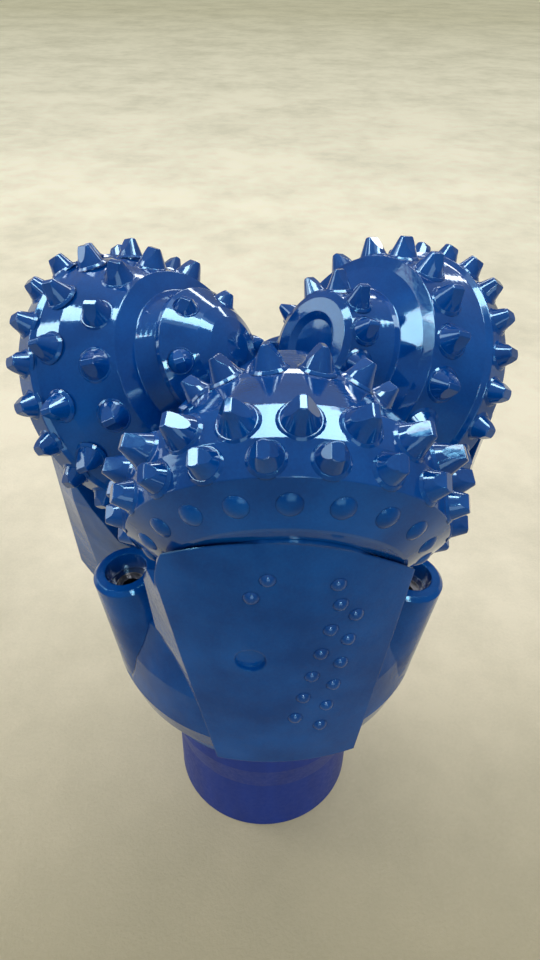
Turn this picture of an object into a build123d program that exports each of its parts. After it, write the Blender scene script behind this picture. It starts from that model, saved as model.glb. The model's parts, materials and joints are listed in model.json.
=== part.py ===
from build123d import *
import os
from math import asin, cos, radians, sin

# Driving dimensions, in millimetres and degrees.
# The bit stands on its thread protector with the cutters up; +Z is the bit's own axis.
LEG_AZIMUTHS = {1: -90.0, 2: 150.0, 3: 30.0}
JOURNAL_ANGLE = 30.0
CONE_OFFSET = 8.5
APEX_HEIGHT = 423.4

# API 6 5/8 regular pin
PIN_END_HEIGHT = 6.0
PIN_LENGTH = 127.0
PIN_BASE_RADIUS = 152.197 / 2
PIN_END_RADIUS = 131.039 / 2
THREAD_PITCH = 25.4 / 4
THREAD_DEPTH = 3.0
THREAD_RELIEF = 12.7
PIN_BORE_RADIUS = 88.9 / 2
SHOULDER_HEIGHT = PIN_END_HEIGHT + PIN_LENGTH
BEVEL_RADIUS = 186.93 / 2
SHANK_RADIUS = 97.0

# Thread protector
PROTECTOR_GAP = 0.5
PROTECTOR_FOOT_RADIUS = 74.3
PROTECTOR_FOOT_HEIGHT = 62.0
PROTECTOR_COLLAR_RADIUS = 80.5

# Leg forging
SHIRTTAIL_RADIUS = 147.0
SHIRTTAIL_BOTTOM = 216.0
ARM_TOP = 396.0
ARM_SIDES_AT_SHOULDER = (-12.0, 42.5)
ARM_SIDES_AT_TOP = (-65.0, 77.0)
FLARE_DEPTH = 22.0
ARM_FLARES = {SHOULDER_HEIGHT + 5: (-1.0, 1.0), SHIRTTAIL_BOTTOM: (-4.0, 3.0), 300.0: (-17.0, 9.0),
              ARM_TOP: (-9.0, 6.0)}
HEAD_RADIUS = 66.0
DOME_TOP = 274.0
MACHINED_FACE = 143.5

# Journal and cone bearing: stations along the journal axis from the apex, then radii
CONE_BACKFACE = 142.0
SEAL_SHOULDER = 134.0
ROLLER_LIP = 108.2
BALL_STATION = 95.0
BALL_LIP = 104.0
THRUST_FACE = 84.8
PILOT_END = 58.2
SEAL_JOURNAL_RADIUS = 47.0
ROLLER_RACE_RADIUS = 41.0
BALL_LIP_RADIUS = 43.6
THRUST_RADIUS = 40.8
PILOT_RADIUS = 22.0
ROLLER_RADIUS = 7.0
ROLLER_LENGTH = 24.0
ROLLER_COUNT = 21
BALL_RADIUS = 17.4625 / 2
BALL_COUNT = 13
RACE_CLEARANCE = 0.05
ROLLER_PITCH_RADIUS = ROLLER_RACE_RADIUS + ROLLER_RADIUS + RACE_CLEARANCE
BALL_PITCH_RADIUS = 40.55
GROOVE_RADIUS = BALL_RADIUS + 0.08
BUSHING_OUTER_RADIUS = 26.6
BUSHING_INNER_RADIUS = PILOT_RADIUS + 0.08
BUSHING_LENGTH = 23.8
WASHER_THICKNESS = 2.0
WASHER_RADIUS = 41.9
BUTTON_RADIUS = 18.0
BUTTON_THICKNESS = 6.4
BUTTON_POCKET = 51.0
SEAL_STATION = 137.8
SEAL_SECTION_RADIUS = 3.15
SEAL_PITCH_RADIUS = 50.5
SEAL_GLAND_RADIUS = SEAL_PITCH_RADIUS + SEAL_SECTION_RADIUS + 0.05

# Ball hole and plug: ends as (up the cone face, sideways, along the journal)
BALL_HOLE_OUTER_END = Vector(-29.0, 20.0, 190.0)
BALL_HOLE_INNER_END = Vector(27.2, -18.7, BALL_STATION)
BALL_HOLE_RADIUS = 9.0
PLUG_CLEARANCE = 0.05
WELD_COVER = 6.0
DIMPLE_PLACE = (-9.3, 308.6)
DIMPLE_RADIUS = 9.0
DIMPLE_DEPTH = 3.0

# Nozzles, one beside each leg
NOZZLE_AZIMUTH = 60.0
NOZZLE_RADIUS_FROM_AXIS = 106.0
NOZZLE_TOP = 281.0
NOZZLE_TILT = 8.0
BOSS_TOP_RADIUS = 21.5
BOSS_BOTTOM_RADIUS = 23.0
BOSS_LENGTH = 125.0
POCKET_RADIUS = 13.5
POCKET_DEPTH = 44.0
NOZZLE_RECESS = 16.0
NOZZLE_BORE = 6.0
NOZZLE_SEAL_DEPTH = 12.0
NOZZLE_SEAL_SECTION_RADIUS = 1.8
RETAINER_INNER_RADIUS = 9.5
RETAINER_THICKNESS = 1.8
PASSAGE_RADIUS = 10.0
PLENUM_SHOULDER = 168.0
PLENUM_TOP = 205.0
PLENUM_TOP_RADIUS = 24.0

# Grease reservoir under each shirttail
RESERVOIR_PLACE = Vector(114.5, 12.0, 174.5)
RESERVOIR_OUTWARD = Vector(0.824, 0.0, -0.568)
RESERVOIR_RADIUS = 17.0
RESERVOIR_DEPTH = 40.0
GREASE_HOLE_RADIUS = 3.0
CUP_BOTTOM = -34.0
CUP_TOP = -14.0
CUP_WALL = 1.5
DIAPHRAGM_WALL = 2.0
DIAPHRAGM_BOTTOM = -30.0
DIAPHRAGM_FLANGE_TOP = -10.6
CAP_BOTTOM = -10.4
CAP_TOP = -4.8
CAP_VENT_RADIUS = 2.0
SNAP_RING_TOP = -2.9
SNAP_RING_THICKNESS = 1.6
RESERVOIR_FIT = 0.1

# Hard-metal inserts and buttons
LARGE_INSERT_DIAMETER = 19.05
MEDIUM_INSERT_DIAMETER = 17.46
GAUGE_INSERT_DIAMETER = 15.875
HEEL_BUTTON_DIAMETER = 12.0
HEEL_BUTTON_HEIGHT = 1.8
SHIRTTAIL_BUTTON_DIAMETER = 8.0
SHIRTTAIL_BUTTON_HEIGHT = 2.4
SHIRTTAIL_BUTTON_DEPTH = 5.0
SHIRTTAIL_COLUMN_LENGTH = 6
SHIRTTAIL_BUTTON_PITCH = 17.7
SHIRTTAIL_COLUMN_TOP = (35.0, 347.6)
SHIRTTAIL_COLUMN_SLANT = -3.8
SECOND_COLUMN_TOP = (43.6, 338.1)
SECOND_COLUMN_SLANT = -2.6
SHIRTTAIL_TOP_BUTTONS = [(-1.3, 367.3), (-9.0, 355.1), (32.8, 361.8)]
HOLE_CLEARANCE = 0.02
SHANK_LENGTHS = {"heel_buttons": 5.0, "gauge_inserts": 6.5, "second_row_inserts": 7.0,
                 "third_row_inserts": 7.5, "nose_row_inserts": 7.0}
GAUGE_ROW = (118.0, 82.9, 3.0)
HEEL_ROW = (134.4, 70.7, 55.1)

# Cone outlines from the nose to the backface as (station, radius)
HEEL_OUTLINE = [(126.5, 82.0), (141.5, 60.5), (CONE_BACKFACE, 58.5)]
CONE_OUTLINES = {
    1: [(26.5, 0), (26.5, 18), (29.5, 26.5), (57, 52.5), (61, 55), (91, 80.2), (92, 81.7),
        (109.5, 84.2)],
    2: [(22, 0), (22.5, 9), (26, 19), (30, 26), (44.7, 42), (48, 42), (49, 40.5), (62, 45.5),
        (64.5, 58.1), (95, 75.5), (109, 81.2), (111.5, 84)],
    3: [(39, 0), (39, 16), (36, 20), (36, 29), (38, 33.5), (64, 44.5), (68, 45.5), (71, 60),
        (72, 68), (106.5, 80.2), (109, 83.5)],
}

# Insert rows as (name, station, radius, lean, count, angle of the first, diameter, height)
INSERT_ROWS = {
    1: [("heel_buttons", *HEEL_ROW, 19, 302.2, HEEL_BUTTON_DIAMETER, HEEL_BUTTON_HEIGHT),
        ("gauge_inserts", *GAUGE_ROW, 19, 295.2, GAUGE_INSERT_DIAMETER, 9.6),
        ("second_row_inserts", 100.5, 82.8, -8.0, 19, 286.2, LARGE_INSERT_DIAMETER, 13.0),
        ("third_row_inserts", 54.5, 50.2, -42.0, 13, 292.0, MEDIUM_INSERT_DIAMETER, 12.5)],
    2: [("heel_buttons", *HEEL_ROW, 20, 4.0, HEEL_BUTTON_DIAMETER, HEEL_BUTTON_HEIGHT),
        ("gauge_inserts", *GAUGE_ROW, 21, 92.3, GAUGE_INSERT_DIAMETER, 9.6),
        ("second_row_inserts", 100.5, 77.9, -12.0, 14, 79.3, MEDIUM_INSERT_DIAMETER, 12.5),
        ("third_row_inserts", 76.0, 64.1, -30.8, 13, 92.6, LARGE_INSERT_DIAMETER, 12.0),
        ("nose_row_inserts", 38.6, 33.6, -41.2, 6, 75.0, 15.0, 7.5)],
    3: [("heel_buttons", *HEEL_ROW, 22, 2.0, HEEL_BUTTON_DIAMETER, HEEL_BUTTON_HEIGHT),
        ("gauge_inserts", *GAUGE_ROW, 23, 7.2, GAUGE_INSERT_DIAMETER, 9.6),
        ("second_row_inserts", 83.0, 71.9, -19.5, 17, 30.4, LARGE_INSERT_DIAMETER, 13.0),
        ("third_row_inserts", 46.0, 36.9, -22.9, 11, 48.4, GAUGE_INSERT_DIAMETER, 12.5)],
}


# Frames and simple shapes

def leg_frame(leg):
    """The leg's own frame: X outward, Y sideways, Z up, turned about the bit's axis."""
    return Rot(0, 0, LEG_AZIMUTHS[leg])


def journal_frame(leg=None):
    """Z runs out along the journal from the apex; X points up the cone's face."""
    slope = radians(JOURNAL_ANGLE)
    axis = Vector(cos(slope), 0, -sin(slope))
    face_up = Vector(sin(slope), 0, cos(slope))
    frame = Plane(origin=(0, CONE_OFFSET, APEX_HEIGHT), x_dir=face_up, z_dir=axis).location
    return frame if leg is None else leg_frame(leg) * frame


def turned(points, corner_radius=0.0, seam=180.0):
    """A solid of revolution about Z from (radius, height) points, its seam at the given angle."""
    face = make_face(Polyline(*points, close=True))
    if corner_radius:
        rounded = [v for v in face.vertices() if v.X > 1.0]
        face = fillet(rounded, corner_radius)
    return Rot(0, 0, seam) * revolve(Plane.XZ * face, Axis.Z)


def ring(inner, outer, bottom, top):
    return turned([(inner, bottom), (outer, bottom), (outer, top), (inner, top)])


def rod(start, end, radius):
    """A round bar between two points."""
    run = end - start
    return Plane(origin=start, z_dir=run) * Cylinder(radius, run.length, align=UP_ALIGN)


UP_ALIGN = (Align.CENTER, Align.CENTER, Align.MIN)
DOWN_ALIGN = (Align.CENTER, Align.CENTER, Align.MAX)


def save(name, shape):
    export_step(shape, f"parts/{name}.step")


# Inserts

def chisel_insert(diameter, height, depth):
    """A round shank with a conical point cut to a crest that runs along local X."""
    radius = diameter / 2
    shank = Cylinder(radius, depth, align=DOWN_ALIGN)
    point = Cone(radius, 0.42 * radius, height, align=UP_ALIGN)
    crest = 0.17 * radius
    flanks = make_face(Polyline(
        (-radius, 0), (radius, 0), (radius, 0.12 * height), (crest, height),
        (-crest, height), (-radius, 0.12 * height), close=True))
    wedge = extrude(Plane.YZ * flanks, radius, both=True)
    tip = point & wedge
    tip = fillet(tip.edges().group_by(Axis.Z)[-1], 0.8)
    return shank + tip


def gauge_insert(diameter, height, depth):
    """A blunt point with a flat that faces the wall of the hole."""
    radius = diameter / 2
    shank = Cylinder(radius, depth, align=DOWN_ALIGN)
    point = Cone(radius, 0.58 * radius, height, align=UP_ALIGN)
    half_top = 0.34 * radius
    flanks = make_face(Polyline(
        (-radius, 0), (radius, 0), (radius, 0.3 * height), (half_top, height),
        (-half_top, height), (-radius, 0.3 * height), close=True))
    tip = point & extrude(Plane.YZ * flanks, radius, both=True)
    tip = fillet(tip.edges().group_by(Axis.Z)[-1], 0.8)
    return shank + tip


def domed_button(diameter, height, depth):
    """A flush button with a low dome."""
    radius = diameter / 2
    ball_radius = (radius * radius + height * height) / (2 * height)
    dome = Pos(0, 0, height - ball_radius) * Sphere(ball_radius)
    post = Pos(0, 0, -depth) * Cylinder(radius, depth + height, align=UP_ALIGN)
    return post & (dome + Cylinder(radius, depth, align=DOWN_ALIGN))


def make_insert(name, diameter, height):
    depth = SHANK_LENGTHS[name]
    if name == "heel_buttons":
        return domed_button(diameter, height, depth)
    if name == "gauge_inserts":
        return gauge_insert(diameter, height, depth)
    return chisel_insert(diameter, height, depth)


def row_places(station, radius, lean, count, first_angle, direction):
    """Frames around a cone: Z leaves the land, X lies along the cone's slope."""
    places = []
    for index in range(count):
        angle = -radians(first_angle + direction * index * 360.0 / count)
        tilt = radians(lean)
        radial = Vector(cos(angle), sin(angle), 0)
        axis = Vector(0, 0, 1)
        outward = radial * cos(tilt) + axis * sin(tilt)
        along = axis * cos(tilt) - radial * sin(tilt)
        origin = radial * radius + axis * station
        places.append(Plane(origin=origin, x_dir=along, z_dir=outward).location)
    return places


# Cones

def cone_cavity():
    """The bearing space inside a cone, with its ball groove."""
    button = BUTTON_RADIUS + HOLE_CLEARANCE
    bushing = BUSHING_OUTER_RADIUS + HOLE_CLEARANCE
    thrust = WASHER_RADIUS + 0.1
    lip = BALL_LIP_RADIUS + 0.4
    race = ROLLER_PITCH_RADIUS + ROLLER_RADIUS + RACE_CLEARANCE
    land = SEAL_JOURNAL_RADIUS + 0.6
    bushing_seat = PILOT_END - 0.6
    washer_seat = THRUST_FACE - WASHER_THICKNESS - 0.6
    gland_start = SEAL_STATION - SEAL_SECTION_RADIUS - 0.05
    gland_end = SEAL_STATION + SEAL_SECTION_RADIUS + 0.05
    mouth = CONE_BACKFACE + 3.0
    outline = [
        (0, BUTTON_POCKET), (button, BUTTON_POCKET), (button, bushing_seat),
        (bushing, bushing_seat), (bushing, washer_seat), (thrust, washer_seat),
        (thrust, BALL_LIP - 0.5), (lip, BALL_LIP - 0.5), (lip, ROLLER_LIP - 0.4),
        (race, ROLLER_LIP - 0.4), (race, gland_start), (SEAL_GLAND_RADIUS, gland_start),
        (SEAL_GLAND_RADIUS, gland_end), (land, gland_end), (land, mouth), (0, mouth)]
    return turned(outline) + ball_groove()


def cone_shell(cone):
    outline = [(radius, station) for station, radius in CONE_OUTLINES[cone] + HEEL_OUTLINE]
    body = turned(outline + [(0, CONE_BACKFACE)], corner_radius=0.7)
    holes = []
    for name, station, radius, lean, count, first, diameter, height in INSERT_ROWS[cone]:
        depth = SHANK_LENGTHS[name]
        hole = Pos(0, 0, -depth) * Cylinder(diameter / 2 + HOLE_CLEARANCE, depth + 12, align=UP_ALIGN)
        direction = 1 if cone == 1 else -1
        holes += [place * hole for place in row_places(station, radius, lean, count, first, direction)]
    return body - cone_cavity() - holes


def cone_inserts(cone, row):
    name, station, radius, lean, count, first, diameter, height = row
    direction = 1 if cone == 1 else -1
    insert = make_insert(name, diameter, height)
    return Compound([place * insert
                     for place in row_places(station, radius, lean, count, first, direction)])


def roller_set():
    roller = Cylinder(ROLLER_RADIUS, ROLLER_LENGTH)
    roller = chamfer(roller.edges(), 0.6)
    station = (SEAL_SHOULDER + ROLLER_LIP) / 2
    return Compound([Rot(0, 0, 360 * i / ROLLER_COUNT) * Pos(ROLLER_PITCH_RADIUS, 0, station) * roller
                     for i in range(ROLLER_COUNT)])


def ball_set():
    ball = Sphere(BALL_RADIUS)
    return Compound([Rot(0, 0, 360 * i / BALL_COUNT) * Pos(BALL_PITCH_RADIUS, 0, BALL_STATION) * ball
                     for i in range(BALL_COUNT)])


def nose_bushing():
    return ring(BUSHING_INNER_RADIUS, BUSHING_OUTER_RADIUS, PILOT_END, PILOT_END + BUSHING_LENGTH)


def thrust_washer():
    seat = THRUST_FACE - WASHER_THICKNESS - 0.6
    return ring(BUSHING_INNER_RADIUS, WASHER_RADIUS, seat, seat + WASHER_THICKNESS)


def thrust_button():
    disc = Pos(0, 0, BUTTON_POCKET) * Cylinder(BUTTON_RADIUS, BUTTON_THICKNESS, align=UP_ALIGN)
    return chamfer(disc.edges(), 0.5)


def seal_ring():
    return Pos(0, 0, SEAL_STATION) * Torus(SEAL_PITCH_RADIUS, SEAL_SECTION_RADIUS)


# Leg forging

def journal():
    outline = [
        (0, PILOT_END), (PILOT_RADIUS - 1.5, PILOT_END), (PILOT_RADIUS, PILOT_END + 1.5),
        (PILOT_RADIUS, THRUST_FACE), (THRUST_RADIUS, THRUST_FACE), (THRUST_RADIUS, BALL_LIP),
        (BALL_LIP_RADIUS, BALL_LIP), (BALL_LIP_RADIUS, ROLLER_LIP),
        (ROLLER_RACE_RADIUS, ROLLER_LIP), (ROLLER_RACE_RADIUS, SEAL_SHOULDER),
        (SEAL_JOURNAL_RADIUS, SEAL_SHOULDER), (SEAL_JOURNAL_RADIUS, MACHINED_FACE + 0.1),
        (0, MACHINED_FACE + 0.1)]
    return turned(outline, seam=90.0)


def ball_groove():
    return Pos(0, 0, BALL_STATION) * Torus(BALL_PITCH_RADIUS, GROOVE_RADIUS)


def cone_room():
    """The space that a cone and its inserts sweep, with room to spare."""
    outline = [(0, MACHINED_FACE), (63, MACHINED_FACE), (85, 129), (96.5, 125), (99, 105),
               (99, 85), (88, 60), (68, 40), (50, 18), (0, 0)]
    return turned(outline)


def threaded_pin():
    """The tapered pin with its thread drawn as rings, and the shoulder above it."""
    taper = (PIN_BASE_RADIUS - PIN_END_RADIUS) / PIN_LENGTH
    outline = [(0, PIN_END_HEIGHT), (PIN_END_RADIUS - THREAD_DEPTH, PIN_END_HEIGHT)]
    turns = int((PIN_LENGTH - THREAD_RELIEF) / THREAD_PITCH)
    for turn in range(turns):
        height = PIN_END_HEIGHT + turn * THREAD_PITCH
        crest = PIN_END_RADIUS + taper * (turn + 0.5) * THREAD_PITCH
        root = crest - THREAD_DEPTH
        outline += [(root, height + 0.8), (crest, height + 2.4),
                    (crest, height + 3.9), (root, height + 5.5)]
    relief = SHOULDER_HEIGHT - THREAD_RELIEF
    outline += [(PIN_BASE_RADIUS - THREAD_DEPTH, relief), (PIN_BASE_RADIUS, relief + 2),
                (PIN_BASE_RADIUS, SHOULDER_HEIGHT), (BEVEL_RADIUS, SHOULDER_HEIGHT),
                (SHANK_RADIUS, SHOULDER_HEIGHT + 4), (SHANK_RADIUS, SHOULDER_HEIGHT + 17),
                (0, SHOULDER_HEIGHT + 17)]
    return turned(outline)


def dome():
    """The middle of the body, up to the crotch under the cones."""
    low = SHOULDER_HEIGHT + 5
    return turned([(0, low), (SHANK_RADIUS, low), (SHANK_RADIUS + 2, low + 10), (110, 164),
                   (115, 182), (113, 215), (104, 250), (84, DOME_TOP), (0, DOME_TOP)])


def arm_section(height):
    """A slice through the arm: narrow at the face, widening inward along its slanted sides."""
    share = (height - SHOULDER_HEIGHT) / (ARM_TOP - SHOULDER_HEIGHT)
    corners = []
    for low, high, flare in zip(ARM_SIDES_AT_SHOULDER, ARM_SIDES_AT_TOP, ARM_FLARES[height]):
        side = low + share * (high - low)
        face_edge = Vector(SHIRTTAIL_RADIUS * cos(asin(side / SHIRTTAIL_RADIUS)), side)
        inner_edge = face_edge + Vector(-FLARE_DEPTH, flare)
        corners.append((inner_edge, face_edge + (face_edge - inner_edge)))
    (left_in, left_out), (right_in, right_out) = corners
    return Pos(0, 0, height) * make_face(Polyline(
        (0, left_in.Y), (left_in.X, left_in.Y), (left_out.X, left_out.Y),
        (right_out.X, right_out.Y), (right_in.X, right_in.Y), (0, right_in.Y), close=True))


def arm():
    """The arm with its shirttail, from the shank up to the machined face."""
    bottom = min(ARM_FLARES)
    stem = loft([arm_section(height) for height in ARM_FLARES], ruled=True)
    skin = turned([(0, bottom), (SHANK_RADIUS, bottom), (SHANK_RADIUS + 2, bottom + 14),
                   (130, SHIRTTAIL_BOTTOM - 19), (SHIRTTAIL_RADIUS, SHIRTTAIL_BOTTOM),
                   (SHIRTTAIL_RADIUS, ARM_TOP), (0, ARM_TOP)])
    block = stem & skin
    behind_face = Pos(0, 0, MACHINED_FACE) * Cylinder(HEAD_RADIUS, 90, align=UP_ALIGN)
    below_journal = Pos(-150, 0, MACHINED_FACE) * Box(300, 300, 300, align=UP_ALIGN)
    head = journal_frame() * (behind_face + below_journal)
    root = Box(400, 400, 2 * DOME_TOP)
    return (block & head) + (block & root)


def nozzle_frame():
    """Z leaves the nozzle; the origin lies in the middle of the boss rim."""
    place = Rot(0, 0, NOZZLE_AZIMUTH) * Pos(NOZZLE_RADIUS_FROM_AXIS, 0, NOZZLE_TOP)
    return place * Rot(0, NOZZLE_TILT, 0)


def nozzle_boss():
    boss = Cone(BOSS_BOTTOM_RADIUS, BOSS_TOP_RADIUS, BOSS_LENGTH, align=DOWN_ALIGN)
    boss = chamfer(boss.edges().sort_by(Axis.Z)[-1], 2.5)
    skin = turned([(0, SHOULDER_HEIGHT + 5), (SHANK_RADIUS, SHOULDER_HEIGHT + 5),
                   (SHANK_RADIUS + 2, SHOULDER_HEIGHT + 19), (119, 195), (127, 230),
                   (131, 262), (131, 300), (0, 300)])
    return (nozzle_frame() * boss) & skin


def nozzle_space():
    """Pocket, seat and drilled passage down to the plenum."""
    pocket = Cylinder(POCKET_RADIUS, POCKET_DEPTH, align=DOWN_ALIGN)
    low = -NOZZLE_RECESS + 0.3
    groove = ring(POCKET_RADIUS - 1, POCKET_RADIUS + 1.5, low, low + RETAINER_THICKNESS + 0.2)
    seal_groove = Torus(POCKET_RADIUS, NOZZLE_SEAL_SECTION_RADIUS + 0.1)
    ring_groove = Pos(0, 0, -NOZZLE_RECESS - NOZZLE_SEAL_DEPTH) * seal_groove
    start = (nozzle_frame() * Pos(0, 0, -POCKET_DEPTH + 2)).position
    end = (Rot(0, 0, NOZZLE_AZIMUTH) * Pos(PLENUM_TOP_RADIUS - 2, 0, PLENUM_SHOULDER + 4)).position
    return nozzle_frame() * (pocket + groove + ring_groove) + rod(start, end, PASSAGE_RADIUS)


def plenum():
    """The pin bore, closing to a blunt cone inside the body."""
    return turned([(0, 0), (PIN_BORE_RADIUS, 0), (PIN_BORE_RADIUS, PLENUM_SHOULDER),
                   (PLENUM_TOP_RADIUS, PLENUM_TOP), (0, PLENUM_TOP)])


def reservoir_frame():
    return Plane(origin=RESERVOIR_PLACE, x_dir=(0, 1, 0), z_dir=RESERVOIR_OUTWARD).location


def reservoir_space():
    """Stepped pocket for the grease compensator, with a wide mouth."""
    pocket = Cylinder(RESERVOIR_RADIUS, RESERVOIR_DEPTH + 30, align=UP_ALIGN)
    groove = ring(RESERVOIR_RADIUS - 1, RESERVOIR_RADIUS + 1.2,
                  SNAP_RING_TOP - SNAP_RING_THICKNESS - 0.1, SNAP_RING_TOP + 0.1)
    return reservoir_frame() * (Pos(0, 0, -RESERVOIR_DEPTH) * pocket + groove)


def grease_hole():
    start = (reservoir_frame() * Pos(0, 0, -RESERVOIR_DEPTH + 4)).position
    end = (journal_frame() * Pos(-5.4, 3.7, 150)).position
    return rod(start, end, GREASE_HOLE_RADIUS)


def ball_hole(radius, cover):
    """The loading hole for the balls, filled with weld metal for the last few millimetres."""
    drilled = rod(BALL_HOLE_INNER_END, BALL_HOLE_OUTER_END, radius)
    inside = turned([(0, SHOULDER_HEIGHT), (SHIRTTAIL_RADIUS - cover, SHOULDER_HEIGHT),
                     (SHIRTTAIL_RADIUS - cover, ARM_TOP + 60), (0, ARM_TOP + 60)])
    return (journal_frame() * drilled) & inside


def weld_dimple():
    """The shallow round sink that is left over the welded end of the ball hole."""
    side, height = DIMPLE_PLACE
    floor = SHIRTTAIL_RADIUS - DIMPLE_DEPTH
    sink = Pos(floor, side, height) * Rot(0, 90, 0)
    return sink * Cone(DIMPLE_RADIUS - 1.5, DIMPLE_RADIUS + 4.5, 20, align=UP_ALIGN)


def shirttail_button_places():
    """Two slanting columns of buttons down the shirttail, and a few near its top."""
    spots = list(SHIRTTAIL_TOP_BUTTONS)
    columns = ((SHIRTTAIL_COLUMN_TOP, SHIRTTAIL_COLUMN_SLANT), (SECOND_COLUMN_TOP, SECOND_COLUMN_SLANT))
    for (side, height), slant in columns:
        for index in range(SHIRTTAIL_COLUMN_LENGTH):
            spots.append((side + slant * index, height - SHIRTTAIL_BUTTON_PITCH * index))
    places = []
    for side, height in spots:
        outward = (SHIRTTAIL_RADIUS ** 2 - side ** 2) ** 0.5
        normal = Vector(outward, side, 0) / SHIRTTAIL_RADIUS
        places.append(Plane(origin=(outward, side, height), z_dir=normal).location)
    return places


def shirttail_buttons():
    button = domed_button(SHIRTTAIL_BUTTON_DIAMETER, SHIRTTAIL_BUTTON_HEIGHT, SHIRTTAIL_BUTTON_DEPTH)
    return Compound([place * button for place in shirttail_button_places()])


def leg_forging():
    third = make_face(Polyline((0, 0), (300, -300 * 3 ** 0.5), (600, 0), (300, 300 * 3 ** 0.5),
                               close=True))
    wedge = extrude(third, 600)
    body = (threaded_pin() + dome() + arm()) & wedge
    neighbour_boss = Rot(0, 0, -2 * NOZZLE_AZIMUTH) * nozzle_boss()
    body = body - neighbour_boss + nozzle_boss()
    for turn in (0, 120, -120):
        body -= Rot(0, 0, turn) * journal_frame() * cone_room()
        body -= Rot(0, 0, turn) * nozzle_space()
    body += journal_frame() * journal()
    body -= plenum()
    body -= reservoir_space()
    body -= ball_hole(BALL_HOLE_RADIUS, WELD_COVER)
    body -= grease_hole()
    body -= weld_dimple()
    body -= journal_frame() * ball_groove()
    socket = Cylinder(SHIRTTAIL_BUTTON_DIAMETER / 2 + HOLE_CLEARANCE, SHIRTTAIL_BUTTON_DEPTH,
                      align=DOWN_ALIGN)
    body -= [place * socket for place in shirttail_button_places()]
    return body


# Fitted pieces of a leg

def ball_plug():
    """Closes the ball hole: its inner end completes the race, its outer end lies under the weld."""
    stock = ball_hole(BALL_HOLE_RADIUS - PLUG_CLEARANCE, WELD_COVER + PLUG_CLEARANCE)
    return stock - journal_frame() * ball_groove()


def nozzle():
    """A hard-metal nozzle with a bore that narrows upward."""
    top = -NOZZLE_RECESS
    bottom = -POCKET_DEPTH
    outside = POCKET_RADIUS - 0.1
    return turned([(NOZZLE_BORE, top), (outside, top), (outside, bottom),
                   (PASSAGE_RADIUS, bottom), (NOZZLE_BORE, top - 12)])


def nozzle_retainer():
    low = -NOZZLE_RECESS + 0.4
    return ring(RETAINER_INNER_RADIUS, POCKET_RADIUS + 1.3, low, low + RETAINER_THICKNESS)


def nozzle_seal():
    section = Torus(POCKET_RADIUS, NOZZLE_SEAL_SECTION_RADIUS)
    flattened = section - Cylinder(POCKET_RADIUS - 0.05, 4 * NOZZLE_SEAL_SECTION_RADIUS)
    return Pos(0, 0, -NOZZLE_RECESS - NOZZLE_SEAL_DEPTH) * flattened


def reservoir_cup():
    """A thin metal cup with a small hole in its floor for the grease."""
    outer = RESERVOIR_RADIUS - RESERVOIR_FIT
    inner = outer - CUP_WALL
    hole = GREASE_HOLE_RADIUS - 1
    return turned([(hole, CUP_BOTTOM), (outer, CUP_BOTTOM), (outer, CUP_TOP), (inner, CUP_TOP),
                   (inner, CUP_BOTTOM + CUP_WALL), (hole, CUP_BOTTOM + CUP_WALL)])


def diaphragm():
    """A rubber bag with a flange that the cap clamps on the cup."""
    outer = RESERVOIR_RADIUS - RESERVOIR_FIT
    skirt = outer - CUP_WALL - 1.9
    inner = skirt - DIAPHRAGM_WALL
    flange = CUP_TOP + 0.1
    return turned([
        (0, DIAPHRAGM_BOTTOM), (skirt - 2.5, DIAPHRAGM_BOTTOM), (skirt, DIAPHRAGM_BOTTOM + 2.5),
        (skirt, flange), (outer, flange), (outer, DIAPHRAGM_FLANGE_TOP),
        (inner, DIAPHRAGM_FLANGE_TOP), (inner, DIAPHRAGM_BOTTOM + 3.5),
        (inner - 1.5, DIAPHRAGM_BOTTOM + DIAPHRAGM_WALL), (0, DIAPHRAGM_BOTTOM + DIAPHRAGM_WALL)])


def reservoir_cap():
    return ring(CAP_VENT_RADIUS, RESERVOIR_RADIUS - RESERVOIR_FIT, CAP_BOTTOM, CAP_TOP)


def snap_ring():
    whole = ring(RESERVOIR_RADIUS - 3.0, RESERVOIR_RADIUS + 1.0,
                 SNAP_RING_TOP - SNAP_RING_THICKNESS, SNAP_RING_TOP)
    return whole - Pos(RESERVOIR_RADIUS, 0, SNAP_RING_TOP) * Box(10, 6, 3 * SNAP_RING_THICKNESS)


def thread_protector():
    """A plastic cup over the pin: plain tapered bore, closed bottom, collar at the top."""
    top = SHOULDER_HEIGHT - 0.6
    floor = PIN_END_HEIGHT - 0.6
    bore_end = PIN_END_RADIUS + PROTECTOR_GAP
    bore_top = PIN_BASE_RADIUS + PROTECTOR_GAP
    cup = [(0, 0), (PROTECTOR_FOOT_RADIUS - 1.5, 0), (PROTECTOR_FOOT_RADIUS, 1.5),
           (PROTECTOR_FOOT_RADIUS, PROTECTOR_FOOT_HEIGHT),
           (PROTECTOR_COLLAR_RADIUS, PROTECTOR_FOOT_HEIGHT + 30),
           (PROTECTOR_COLLAR_RADIUS, top - 1), (PROTECTOR_COLLAR_RADIUS - 1, top), (bore_top, top),
           (bore_top, top - THREAD_RELIEF), (bore_end, floor), (0, floor)]
    return turned(cup)


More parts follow.
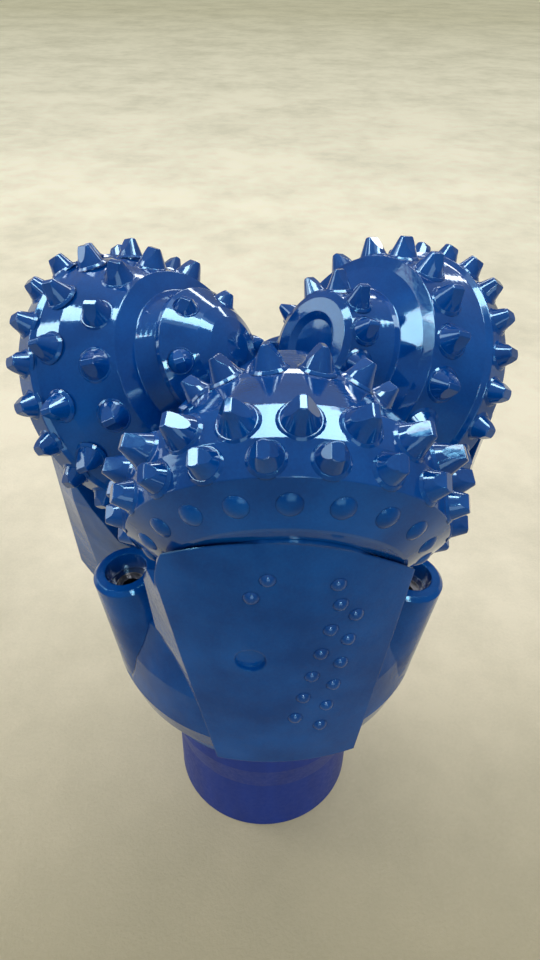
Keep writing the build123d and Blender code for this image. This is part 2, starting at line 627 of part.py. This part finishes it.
def main():
    os.makedirs("parts", exist_ok=True)
    forging = leg_forging()
    for leg in LEG_AZIMUTHS:
        save(f"leg_{leg}", leg_frame(leg) * forging)
        save(f"ball_plug_{leg}", leg_frame(leg) * ball_plug())
        save(f"shirttail_buttons_{leg}", leg_frame(leg) * shirttail_buttons())
        save(f"nozzle_{leg}", leg_frame(leg) * nozzle_frame() * nozzle())
        save(f"grease_cup_{leg}", leg_frame(leg) * reservoir_frame() * reservoir_cup())
        save(f"grease_diaphragm_{leg}", leg_frame(leg) * reservoir_frame() * diaphragm())
        save(f"grease_cap_{leg}", leg_frame(leg) * reservoir_frame() * reservoir_cap())
    save("nozzle_retaining_rings", Compound([leg_frame(leg) * nozzle_frame() * nozzle_retainer()
                                             for leg in LEG_AZIMUTHS]))
    save("nozzle_o_rings", Compound([leg_frame(leg) * nozzle_frame() * nozzle_seal()
                                     for leg in LEG_AZIMUTHS]))
    save("grease_cap_snap_rings", Compound([leg_frame(leg) * reservoir_frame() * snap_ring()
                                            for leg in LEG_AZIMUTHS]))
    for cone in LEG_AZIMUTHS:
        frame = journal_frame(cone)
        save(f"cone_shell_{cone}", frame * cone_shell(cone))
        for row in INSERT_ROWS[cone]:
            save(f"{row[0]}_{cone}", frame * cone_inserts(cone, row))
        save(f"bearing_rollers_{cone}", frame * roller_set())
        save(f"retaining_balls_{cone}", frame * ball_set())
        save(f"nose_bushing_{cone}", frame * nose_bushing())
        save(f"thrust_washer_{cone}", frame * thrust_washer())
        save(f"thrust_button_{cone}", frame * thrust_button())
        save(f"bearing_seal_{cone}", frame * seal_ring())
    save("thread_protector", thread_protector())


main()
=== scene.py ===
# %% [markdown]
# # A roller-cone rock bit in blue enamel
# The bit stands on the plastic cup that guards its thread. Three legs are welded
# into one body, each carries a cone on its journal, and three cones mesh above.
# The CAD model gives every solid its place, so this notebook only dresses it.
# First it loads that model and keeps its box.

# %% Load the frame
import json
import math

import bmesh
import bpy
from mathutils import Matrix, Vector

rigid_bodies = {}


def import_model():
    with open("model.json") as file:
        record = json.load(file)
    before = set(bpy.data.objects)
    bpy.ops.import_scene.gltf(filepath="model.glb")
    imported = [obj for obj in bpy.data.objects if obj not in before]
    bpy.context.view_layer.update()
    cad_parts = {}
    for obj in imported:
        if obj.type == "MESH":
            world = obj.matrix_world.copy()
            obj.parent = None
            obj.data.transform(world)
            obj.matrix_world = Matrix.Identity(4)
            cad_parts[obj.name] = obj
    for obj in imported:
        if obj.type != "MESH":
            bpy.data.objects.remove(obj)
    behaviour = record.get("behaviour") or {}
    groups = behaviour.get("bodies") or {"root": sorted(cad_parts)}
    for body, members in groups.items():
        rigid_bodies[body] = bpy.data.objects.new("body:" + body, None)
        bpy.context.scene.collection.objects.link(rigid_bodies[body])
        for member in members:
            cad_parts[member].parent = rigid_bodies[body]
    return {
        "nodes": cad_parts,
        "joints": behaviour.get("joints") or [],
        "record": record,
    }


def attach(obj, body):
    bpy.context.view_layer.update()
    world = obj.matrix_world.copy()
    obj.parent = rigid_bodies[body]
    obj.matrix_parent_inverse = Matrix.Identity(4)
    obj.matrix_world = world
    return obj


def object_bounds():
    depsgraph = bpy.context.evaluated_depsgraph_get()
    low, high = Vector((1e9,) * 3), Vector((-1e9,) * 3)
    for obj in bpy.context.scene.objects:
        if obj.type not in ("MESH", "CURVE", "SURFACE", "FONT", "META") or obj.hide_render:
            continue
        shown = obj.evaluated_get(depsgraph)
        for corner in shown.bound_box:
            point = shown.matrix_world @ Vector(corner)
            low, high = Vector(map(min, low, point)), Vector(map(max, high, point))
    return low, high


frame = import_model()
cad_low, cad_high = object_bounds()
joints = {joint["name"]: joint for joint in frame["joints"]}
MM = 0.001
LEGS = (1, 2, 3)
print("nodes", len(frame["nodes"]), "box", cad_low, cad_high)

# %% [markdown]
# ## The camera
# A person holds the camera above and in front of the bit and looks down at it, so
# the cones look large and the body falls away below them. A wide lens close to the
# work gives that strong perspective. The camera's turn is built from a heading, a
# dip below the horizon and a slight tilt of the wrist.

# %% Camera
CAMERA_PLACE = Vector((-3.24, -386.79, 609.33)) * MM
HEADING, DIP, WRIST_TILT = (math.radians(a) for a in (0.473, -37.297, 1.381))
LENS_MM = 27.075

look = Vector((math.sin(HEADING) * math.cos(DIP), math.cos(HEADING) * math.cos(DIP),
               math.sin(DIP)))
level = Vector((math.cos(HEADING), -math.sin(HEADING), 0))
upward = level.cross(look)
across = level * math.cos(WRIST_TILT) + upward * math.sin(WRIST_TILT)
above = upward * math.cos(WRIST_TILT) - level * math.sin(WRIST_TILT)

camera_data = bpy.data.cameras.new("camera")
camera_data.lens = LENS_MM
camera = bpy.data.objects.new("camera", camera_data)
facing = Matrix((across, above, -look)).transposed().to_4x4()
camera.matrix_world = Matrix.Translation(CAMERA_PLACE) @ facing
bpy.context.scene.collection.objects.link(camera)
bpy.context.scene.camera = camera
print("lens", round(camera_data.lens, 2), "mm, distance to the bit's axis", round(-CAMERA_PLACE.y, 3))

# %% [markdown]
# ## Writing shaders as sums
# A procedural finish is mostly arithmetic on masks: noise times a strength, plus a
# base level. Nodes for that are tedious to place by hand. The small class below
# wraps an output socket, so that an ordinary Python expression adds the Math nodes.
# One more method makes any other node from its type, its settings and its inputs.

# %% Shader helpers
class Signal:
    """An output socket that can be added to and multiplied."""

    def __init__(self, finish, socket):
        self.finish = finish
        self.socket = socket

    def _math(self, operation, first, second):
        return self.finish.node("ShaderNodeMath", {"operation": operation}, {0: first, 1: second})

    def __add__(self, other):
        return self._math("ADD", self, other)

    def __mul__(self, other):
        return self._math("MULTIPLY", self, other)


class Finish:
    """A material with one Principled shader, and the helpers that fill its tree."""

    def __init__(self, name, **constants):
        self.material = bpy.data.materials.new(name)
        self.material.use_nodes = True
        self.tree = self.material.node_tree
        self.shader = self.tree.nodes["Principled BSDF"]
        for socket, value in constants.items():
            self.shader.inputs[socket.replace("_", " ")].default_value = value

    def node(self, kind, settings=None, inputs=None, output=0):
        """Adds any node; inputs may be numbers, colours or signals."""
        made = self.tree.nodes.new(kind)
        for setting, value in (settings or {}).items():
            setattr(made, setting, value)
        for place, value in (inputs or {}).items():
            if isinstance(value, Signal):
                self.tree.links.new(value.socket, made.inputs[place])
            else:
                made.inputs[place].default_value = value
        return Signal(self, made.outputs[output])

    def place(self, turn=(0, 0, 0), centre=(0, 0, 0), stretch=(1, 1, 1)):
        """The piece's own coordinates in metres, moved to a centre and turned."""
        spot = self.node("ShaderNodeTexCoord", output="Object")
        moved = self.node("ShaderNodeMapping", {"vector_type": "TEXTURE"},
                          {"Vector": spot, "Location": centre, "Rotation": turn})
        return self.node("ShaderNodeMapping", {}, {"Vector": moved, "Scale": stretch})

    def noise(self, spot, per_metre, detail=2.0, roughness=0.5):
        return self.node("ShaderNodeTexNoise", {}, {
            "Vector": spot, "Scale": per_metre, "Detail": detail, "Roughness": roughness})

    def between(self, signal, low, high, out_low=0.0, out_high=1.0):
        """Spreads low to high over a new range and cuts off what lies outside."""
        return self.node("ShaderNodeMapRange", {"clamp": True}, {
            "Value": signal, "From Min": low, "From Max": high,
            "To Min": out_low, "To Max": out_high})

    def blend(self, factor, first, second):
        return self.node("ShaderNodeMix", {"data_type": "RGBA"},
                         {0: factor, 6: first, 7: second}, output=2)

    def round_edges(self, radius):
        return self.node("ShaderNodeBevel", {"samples": 4}, {"Radius": radius})

    def bump(self, height, depth, normal=None):
        inputs = {"Height": height, "Distance": depth, "Strength": 1.0}
        if normal:
            inputs["Normal"] = normal
        return self.node("ShaderNodeBump", {}, inputs)

    def feed(self, **signals):
        for socket, signal in signals.items():
            self.tree.links.new(signal.socket, self.shader.inputs[socket.replace("_", " ")])
        return self.material


print("Signal and Finish are ready")

# %% [markdown]
# ## Blue enamel over forged steel
# The whole bit, inserts and all, is sprayed with one thick coat of deep blue gloss.
# On real work that coat sags a little, so it has a fine orange peel and slow waves,
# and it rounds every sharp edge. A Bevel node rounds the edges for the light alone,
# which gives the thin bright lines along ridges with no extra geometry. The paint
# layer gives tinted reflections, as a deep saturated enamel does, and a little
# clear coat over it adds the white sparkle: least on the forging, most on inserts.

# %% Enamel finishes
DEEP_BLUE = (0.0003, 0.048, 0.245, 1)
THIN_BLUE = (0.0008, 0.092, 0.390, 1)
SHINE_TINT = (0.22, 0.72, 1.0, 1)
CLOUDS, WAVES, MILL_SCALE, LATHE_RINGS, ORANGE_PEEL, FLECKS = 28.0, 70.0, 160.0, 95.0, 420.0, 650.0


def enamel(name, edge_radius, peel_depth, wave_depth, rough_depth=0.0, turn=(0, 0, 0),
           centre=(0, 0, 0), ring_depth=0.0, gloss=0.06):
    """Blue enamel; all lengths in metres, patterns in repeats per metre."""
    coat = Finish(name, IOR=1.5, Specular_Tint=SHINE_TINT, Coat_Roughness=0.02, Coat_IOR=1.5)
    spot = coat.place(turn, centre)
    cloud = coat.noise(spot, CLOUDS, 3.0)
    flecks = coat.noise(spot, FLECKS, 2.0)
    thin = coat.between(cloud + flecks * 0.25, 0.45, 0.85)
    colour = coat.blend(thin, DEEP_BLUE, THIN_BLUE)
    height = coat.noise(spot, ORANGE_PEEL, 1.0) * peel_depth + coat.noise(spot, WAVES, 1.0) * wave_depth
    if rough_depth:
        height = height + coat.noise(spot, MILL_SCALE, 4.0, 0.6) * rough_depth
    if ring_depth:
        rings = coat.node("ShaderNodeTexWave", {"wave_type": "BANDS", "bands_direction": "Z"},
                          {"Vector": spot, "Scale": LATHE_RINGS, "Distortion": 0.4, "Detail": 1.0},
                          output="Fac")
        height = height + rings * ring_depth
    normal = coat.bump(height, 1.0, coat.round_edges(edge_radius))
    dull = coat.between(flecks, 0.3, 0.8, 0.06, 0.12)
    sheen = coat.between(cloud, 0.25, 0.7, gloss, gloss + 0.10)
    return coat.feed(Base_Color=colour, Roughness=dull, Coat_Weight=sheen, Normal=normal)


def journal_turn(joint):
    """The turn that lays a pattern's Z along a cone's own axis."""
    return Vector(joint["axis"]).to_track_quat("Z", "Y").to_euler()


forged_enamel = enamel("forged_enamel", 0.0016, 0.00003, 0.00035, rough_depth=0.00025)
insert_enamel = enamel("insert_enamel", 0.0006, 0.00002, 0.00005, gloss=0.45)
button_enamel = enamel("button_enamel", 0.0022, 0.00002, 0.00005)
cone_enamel = {}
for leg in LEGS:
    spin = joints[f"cone_{leg}_spin"]
    cone_enamel[leg] = enamel(f"cone_enamel_{leg}", 0.0008, 0.00003, 0.00012, turn=journal_turn(spin),
                              centre=spin["pos_m"], ring_depth=0.000012, gloss=0.26)
print("enamels", forged_enamel.name, insert_enamel.name, *[m.name for m in cone_enamel.values()])

# %% [markdown]
# ## The inner finishes
# Inside the bit the pieces keep their bare finishes: sintered carbide in the
# nozzles, ground steel in rollers and balls, a bronze alloy in the bushings, black
# rubber in the seals. They hardly show, yet a cut view or a pulled cup shows them,
# so each gets its own grain and its own roughness. The cup itself is soft moulded
# plastic with a faint flow grain and the scuffs of being handled.

# %% Bare metal, rubber and plastic
def plain_metal(name, dark, light, rough_low, rough_high, grain, depth):
    metal = Finish(name, Metallic=1.0)
    spot = metal.place()
    cloud = metal.noise(spot, grain, 4.0, 0.6)
    fine = metal.noise(spot, grain * 9, 2.0)
    colour = metal.blend(metal.between(cloud, 0.3, 0.7), (*dark, 1), (*light, 1))
    rough = metal.between(cloud * 0.6 + fine * 0.4, 0.3, 0.7, rough_low, rough_high)
    return metal.feed(Base_Color=colour, Roughness=rough, Normal=metal.bump(fine, depth))


carbide = plain_metal("sintered_carbide", (0.10, 0.10, 0.11), (0.20, 0.20, 0.21),
                      0.32, 0.5, 90.0, 0.00003)
bearing_steel = plain_metal("ground_steel", (0.42, 0.42, 0.43), (0.62, 0.62, 0.63),
                            0.14, 0.3, 60.0, 0.00001)
bushing_alloy = plain_metal("bushing_bronze", (0.45, 0.27, 0.10), (0.62, 0.40, 0.17),
                            0.25, 0.4, 70.0, 0.00002)


def seal_rubber_finish():
    rubber = Finish("seal_rubber", Roughness=0.6)
    spot = rubber.place()
    bloom = rubber.noise(spot, 120.0, 3.0)
    colour = rubber.blend(bloom, (0.012, 0.012, 0.013, 1), (0.035, 0.035, 0.036, 1))
    grain = rubber.noise(spot, 1500.0, 2.0)
    return rubber.feed(Base_Color=colour, Roughness=rubber.between(bloom, 0.3, 0.7, 0.5, 0.75),
                       Normal=rubber.bump(grain, 0.00003))


def cup_plastic_finish():
    plastic = Finish("cup_plastic", IOR=1.35)
    spot = plastic.place()
    flow = plastic.noise(plastic.place(stretch=(1, 1, 0.25)), 60.0, 3.0)
    scuffs = plastic.noise(spot, 260.0, 5.0, 0.7)
    colour = plastic.blend(plastic.between(flow, 0.3, 0.7),
                           (0.005, 0.034, 0.260, 1), (0.010, 0.050, 0.340, 1))
    rough = plastic.between(scuffs, 0.35, 0.7, 0.38, 0.55)
    height = scuffs * 0.00004 + flow * 0.0001
    return plastic.feed(Base_Color=colour, Roughness=rough,
                        Normal=plastic.bump(height, 1.0, plastic.round_edges(0.001)))


seal_rubber = seal_rubber_finish()
cup_plastic = cup_plastic_finish()
for finish in (carbide, bearing_steel, bushing_alloy, seal_rubber, cup_plastic):
    print("bare finish", finish.name)

# %% [markdown]
# ## Giving each solid its finish
# The record names a finish for each solid. Sprayed solids split four ways here,
# because each takes the same paint differently: the forging is wavy, the cone is
# smooth, the insert is crisp and the flush button is drowned, with a soft rim.

# %% Dress the CAD solids
BARE = {"carbide": carbide, "bearing_steel": bearing_steel, "bushing_alloy": bushing_alloy,
        "seal_rubber": seal_rubber, "protector_plastic": cup_plastic}


def finish_for(node, slot):
    if slot in BARE:
        return BARE[slot]
    if node.startswith("cone_shell"):
        return cone_enamel[int(node[-1])]
    if node.startswith("heel_buttons"):
        return button_enamel
    if "inserts" in node or "buttons" in node:
        return insert_enamel
    return forged_enamel


slots = {part["node"]: part["material_slot"] for part in frame["record"]["subparts"]}
for node, solid in frame["nodes"].items():
    chosen = finish_for(node, slots[node])
    if not solid.material_slots:
        solid.data.materials.append(chosen)
    for material_slot in solid.material_slots:
        material_slot.material = chosen
print("dressed", len(slots), "solids")

# %% [markdown]
# ## Paint collars round the inserts
# Where wet enamel meets an insert it climbs the side and leaves a small sloping
# collar, which shows as a bright ring. There are over 150 of them in rows, all
# alike, so a Geometry Nodes tree makes a row from six numbers: points in a circle
# about the cone's axis, one closed frustum on each, tilted as the insert is. The
# insert stands through the collar and hides its top. Rows are given from the
# cone's apex: how far along the axis, how far from it, lean, count and first angle.

# %% A tree that makes one row of collars
COLLAR_SIDES = 28
COLLAR_SKIN = 0.1 * MM


class RowTree:
    """Builds the geometry tree and remembers the identifier of each input."""

    def __init__(self, name):
        self.tree = bpy.data.node_groups.new(name, "GeometryNodeTree")
        self.ids = {}
        for kind, labels in (
                ("Float", ("Station", "Radius", "Lean", "First Angle", "Step", "Insert Radius",
                           "Spread", "Rise")),
                ("Int", ("Count",)), ("Vector", ("Apex",)), ("Rotation", ("Turn",)),
                ("Material", ("Paint",))):
            for label in labels:
                socket = self.tree.interface.new_socket(
                    label, in_out="INPUT", socket_type="NodeSocket" + kind)
                self.ids[label] = socket.identifier
        self.tree.interface.new_socket("Geometry", in_out="OUTPUT", socket_type="NodeSocketGeometry")
        self.given = self.add("NodeGroupInput").outputs

    def add(self, kind, inputs=None, **settings):
        node = self.tree.nodes.new(kind)
        for setting, value in settings.items():
            setattr(node, setting, value)
        for place, value in (inputs or {}).items():
            if isinstance(value, bpy.types.NodeSocket):
                self.tree.links.new(value, node.inputs[place])
            else:
                node.inputs[place].default_value = value
        return node

    def maths(self, operation, first, second):
        return self.add("ShaderNodeMath", {0: first, 1: second}, operation=operation).outputs[0]


def collar_row_tree():
    row = RowTree("collar_row")
    given = row.given
    points = row.add("GeometryNodePoints", {"Count": given["Count"]})
    index = row.add("GeometryNodeInputIndex").outputs[0]
    angle = row.maths("ADD", row.maths("MULTIPLY", index, given["Step"]), given["First Angle"])
    along_face = row.maths("MULTIPLY", row.maths("COSINE", angle, 0.0), given["Radius"])
    sideways = row.maths("MULTIPLY", row.maths("SINE", angle, 0.0), given["Radius"])
    spot = row.add("ShaderNodeCombineXYZ", {0: along_face, 1: sideways, 2: given["Station"]})
    placed = row.add("GeometryNodeSetPosition", {"Geometry": points.outputs[0],
                                                 "Position": spot.outputs[0]})
    tilt = row.maths("SUBTRACT", math.pi / 2, given["Lean"])
    facing = row.add("ShaderNodeCombineXYZ", {1: tilt, 2: angle})
    foot = row.maths("ADD", given["Insert Radius"], given["Spread"])
    collar = row.add("GeometryNodeMeshCone", {
        "Vertices": COLLAR_SIDES, "Radius Top": row.maths("ADD", given["Insert Radius"], COLLAR_SKIN),
        "Radius Bottom": foot, "Depth": row.maths("MULTIPLY", given["Rise"], 2.0)})
    drop = row.add("ShaderNodeCombineXYZ", {2: row.maths("MULTIPLY", given["Rise"], -1.0)})
    sunk = row.add("GeometryNodeTransform", {"Geometry": collar.outputs["Mesh"],
                                             "Translation": drop.outputs[0]})
    copies = row.add("GeometryNodeInstanceOnPoints", {
        "Points": placed.outputs[0], "Instance": sunk.outputs[0], "Rotation": facing.outputs[0]})
    turned = row.add("GeometryNodeTransform", {
        "Geometry": copies.outputs[0], "Translation": given["Apex"], "Rotation": given["Turn"]})
    real = row.add("GeometryNodeRealizeInstances", {"Geometry": turned.outputs[0]})
    painted = row.add("GeometryNodeSetMaterial", {"Geometry": real.outputs[0],
                                                  "Material": given["Paint"]})
    row.add("NodeGroupOutput", {"Geometry": painted.outputs[0]})
    return row


collar_rows = collar_row_tree()
print("row tree inputs", collar_rows.ids)

# %% [markdown]
# ## Baking a tree into a mesh
# A modifier's numbers go in by the identifier of each socket, before the object is
# first evaluated. The result is copied into a plain mesh in the bit's own frame
# and the modifier goes away with its empty object. All rows that ride on one body
# are joined, so each body has one mesh of collars.

# %% Bake and join
def bake(name, tree, numbers):
    holder = bpy.data.objects.new(name, bpy.data.meshes.new(name + "_seed"))
    bpy.context.scene.collection.objects.link(holder)
    modifier = holder.modifiers.new("rows", "NODES")
    modifier.node_group = tree.tree
    for label, value in numbers.items():
        modifier[tree.ids[label]] = value
    bpy.context.view_layer.update()
    evaluated = holder.evaluated_get(bpy.context.evaluated_depsgraph_get())
    mesh = bpy.data.meshes.new_from_object(evaluated)
    bpy.data.objects.remove(holder)
    return mesh


def joined(name, meshes, paint):
    gathered = bmesh.new()
    for mesh in meshes:
        gathered.from_mesh(mesh)
    bmesh.ops.recalc_face_normals(gathered, faces=gathered.faces)
    whole = bpy.data.meshes.new(name)
    gathered.to_mesh(whole)
    gathered.free()
    whole.materials.append(paint)
    piece = bpy.data.objects.new(name, whole)
    bpy.context.scene.collection.objects.link(piece)
    return piece


print("bake and joined are ready")

# %% [markdown]
# ## The rows on the three cones
# The first cone is the widest and meshes in the gap between the others, and every
# cone has its own spacing so that no insert ever follows in another's track. The
# numbers are the cutters' real rows, so the collars sit exactly under the inserts:
# millimetres and degrees, with the diameter of the insert last.

# %% Collars on the cones
GAUGE = (118.0, 82.9, 3.0)
ROWS = {
    1: [(*GAUGE, 19, 295.2, 15.875), (100.5, 82.8, -8.0, 19, 286.2, 19.05),
        (54.5, 50.2, -42.0, 13, 292.0, 17.46)],
    2: [(*GAUGE, 21, 92.3, 15.875), (100.5, 77.9, -12.0, 14, 79.3, 17.46),
        (76.0, 64.1, -30.8, 13, 92.6, 19.05), (38.6, 33.6, -41.2, 6, 75.0, 15.0)],
    3: [(*GAUGE, 23, 7.2, 15.875), (83.0, 71.9, -19.5, 17, 30.4, 19.05),
        (46.0, 36.9, -22.9, 11, 48.4, 15.875)],
}
COLLAR_SPREAD = 1.7 * MM
COLLAR_RISE = 0.9 * MM


def cone_turn(axis):
    """X up the cone's face, Z out along its axis."""
    axis = Vector(axis).normalized()
    up_face = (Vector((0, 0, 1)) - axis * axis.z).normalized()
    return Matrix((up_face, axis.cross(up_face), axis)).transposed().to_euler()


for leg in LEGS:
    spin = joints[f"cone_{leg}_spin"]
    way = -1 if leg == 1 else 1
    meshes = []
    for station, radius, lean, count, first, diameter in ROWS[leg]:
        meshes.append(bake(f"row_{leg}", collar_rows, {
            "Station": station * MM, "Radius": radius * MM, "Lean": math.radians(lean), "Count": count,
            "First Angle": -math.radians(first), "Step": way * 2 * math.pi / count,
            "Insert Radius": diameter / 2 * MM, "Spread": COLLAR_SPREAD, "Rise": COLLAR_RISE,
            "Apex": spin["pos_m"], "Turn": cone_turn(spin["axis"]), "Paint": cone_enamel[leg]}))
    collars = joined(f"paint_collars_{leg}", meshes, cone_enamel[leg])
    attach(collars, f"cone_{leg}")
    print(collars.name, len(collars.data.polygons), "faces")

# %% [markdown]
# ## The floor and the light
# A pale concrete floor runs off into the distance, with faint stains. Painted shade
# darkens its colour near the camera, so it is lighter far away. It has a painted glow
# for the camera and in reflections, graded in bands of distance, which is how it gets
# so pale with no more light on the bit. Glossy paint is read by what it reflects: a
# strip of sky overhead turns the land of the near cone white between its inserts, a
# second strip lies behind and two small windows make the dots on the buttons. These four
# light nothing else. Three soft lamps and a sky that is brighter overhead fill in, at a
# level where a colour renders about as it is written, and the camera sees a pale haze beyond the floor.

# %% Floor
def concrete_finish():
    """Pale concrete with faint stains, painted shade near the camera and a painted glow graded in bands
    of distance.
    """
    concrete = Finish("pale_concrete", Emission_Strength=1.0)
    spot = concrete.place()
    away = concrete.node("ShaderNodeSeparateXYZ", {}, {0: spot}, output=1)
    # Painted shade: the floor's colour and glow are darker near the camera than further off.
    painted_shade_near = concrete.between(away, -0.22, 0.25)
    # Painted light: the glow is strongest in the middle distance and fades towards the horizon.
    painted_glow_middle = concrete.between(away, 0.3, 1.6)
    painted_glow_fade_far = concrete.between(away, 1.9, 7.5)
    patches = concrete.noise(spot, 2.6, 4.0, 0.6)
    stains = concrete.noise(spot, 14.0, 5.0, 0.65)
    grit = concrete.noise(spot, 320.0, 3.0, 0.6)
    mottled = concrete.between(patches * 0.55 + stains * 0.35 + grit * 0.1, 0.42, 0.62)
    # Painted shade in the base colour, darker near the camera; the mottling on the next line is real
    # stains.
    stains_and_painted_shade = concrete.blend(painted_shade_near, (0.46, 0.385, 0.235, 1), (0.66, 0.57, 0.42, 1))
    stains_and_painted_shade = concrete.blend(mottled * 0.40, stains_and_painted_shade, (0.34, 0.30, 0.19, 1))
    # Painted glow: dim near the camera, brightest in the middle distance, fading far off; stains darken
    # it.
    glow = concrete.blend(painted_shade_near, (0.05, 0.04, 0.01, 1), (0.34, 0.31, 0.22, 1))
    glow = concrete.blend(painted_glow_middle, glow, (0.46, 0.44, 0.32, 1))
    glow = concrete.blend(painted_glow_fade_far, glow, (0.20, 0.19, 0.08, 1))
    glow = concrete.blend(mottled * 0.25, glow, (0.05, 0.045, 0.02, 1))
    seen = (concrete.node("ShaderNodeLightPath", output="Is Camera Ray")
            + concrete.node("ShaderNodeLightPath", output="Is Glossy Ray"))
    return concrete.feed(Base_Color=stains_and_painted_shade, Roughness=concrete.between(grit, 0.3, 0.7, 0.75, 0.95),
                         Emission_Color=concrete.blend(seen, (0, 0, 0, 1), glow),
                         Normal=concrete.bump(grit, 0.0005))


FLOOR_REACH = 30.0
floor_mesh = bpy.data.meshes.new("floor")
corners = [(x * FLOOR_REACH, y * FLOOR_REACH, cad_low.z)
           for x, y in ((-1, -1), (1, -1), (1, 1), (-1, 1))]
floor_mesh.from_pydata(corners, [], [(0, 1, 2, 3)])
floor_mesh.materials.append(concrete_finish())
floor = bpy.data.objects.new("floor", floor_mesh)
bpy.context.scene.collection.objects.link(floor)
print("floor at", round(cad_low.z, 5))

# %% Lights
LOW_SKY = (0.30, 0.34, 0.38, 1)
HIGH_SKY = (0.80, 0.88, 1.0, 1)
PALE_HAZE = (0.80, 0.77, 0.62, 1)


def softbox(name, place, target, width, depth, radiance):
    """A rectangular light whose strength is given by how bright it looks."""
    data = bpy.data.lights.new(name, "AREA")
    data.shape = "RECTANGLE"
    data.size = width
    data.size_y = depth
    data.energy = radiance * math.pi * width * depth
    lamp = bpy.data.objects.new(name, data)
    lamp.location = place
    lamp.rotation_euler = (Vector(target) - Vector(place)).to_track_quat("-Z", "Y").to_euler()
    bpy.context.scene.collection.objects.link(lamp)
    print(name, "power", round(data.energy, 1), "W")
    return lamp


middle = (cad_low + cad_high) / 2
for name, place, width, depth, radiance in (
        ("sky_strip", (0.0, 0.27, 2.05), 2.7, 0.42, 18.0),
        ("rear_strip", (0.4, 2.2, 1.5), 2.4, 0.20, 11.0),
        ("left_window", (-1.9, 0.1, 1.9), 0.5, 0.5, 16.0),
        ("front_window", (0.25, -1.9, 1.75), 0.36, 0.36, 26.0)):
    softbox(name, place, middle, width, depth, radiance).visible_diffuse = False
softbox("top_light", (0.3, 0.5, 2.6), middle, 1.4, 1.4, 1.6)
softbox("door_light", (-2.4, 0.6, 1.3), middle, 1.0, 1.2, 4.0)
softbox("front_fill", (0.4, -3.0, 1.1), middle, 2.0, 1.4, 2.2)

world = bpy.data.worlds.new("overcast")
world.use_nodes = True
backdrop = world.node_tree.nodes["Background"]
sky = world.node_tree
direction = sky.nodes.new("ShaderNodeTexCoord").outputs["Generated"]
apart = sky.nodes.new("ShaderNodeSeparateXYZ")
rise = sky.nodes.new("ShaderNodeValToRGB")
for stop, position, colour in zip(rise.color_ramp.elements, (0.10, 0.85), (LOW_SKY, HIGH_SKY)):
    stop.position = position
    stop.color = colour
seen_or_not = sky.nodes.new("ShaderNodeMix")
seen_or_not.data_type = "RGBA"
seen_or_not.inputs[7].default_value = PALE_HAZE
seen = sky.nodes.new("ShaderNodeLightPath").outputs["Is Camera Ray"]
for output, place in ((direction, apart.inputs[0]), (apart.outputs[2], rise.inputs[0]),
                      (seen, seen_or_not.inputs[0]), (rise.outputs[0], seen_or_not.inputs[6]),
                      (seen_or_not.outputs[2], backdrop.inputs["Color"])):
    sky.links.new(output, place)
backdrop.inputs["Strength"].default_value = 0.7
bpy.context.scene.world = world
bpy.context.scene.view_settings.view_transform = "Standard"
print("world strength", backdrop.inputs["Strength"].default_value)

# %% [markdown]
# The box of the CAD model is printed at the end.

# %% Print the CAD box and finish
print("CAD", cad_low, cad_high)
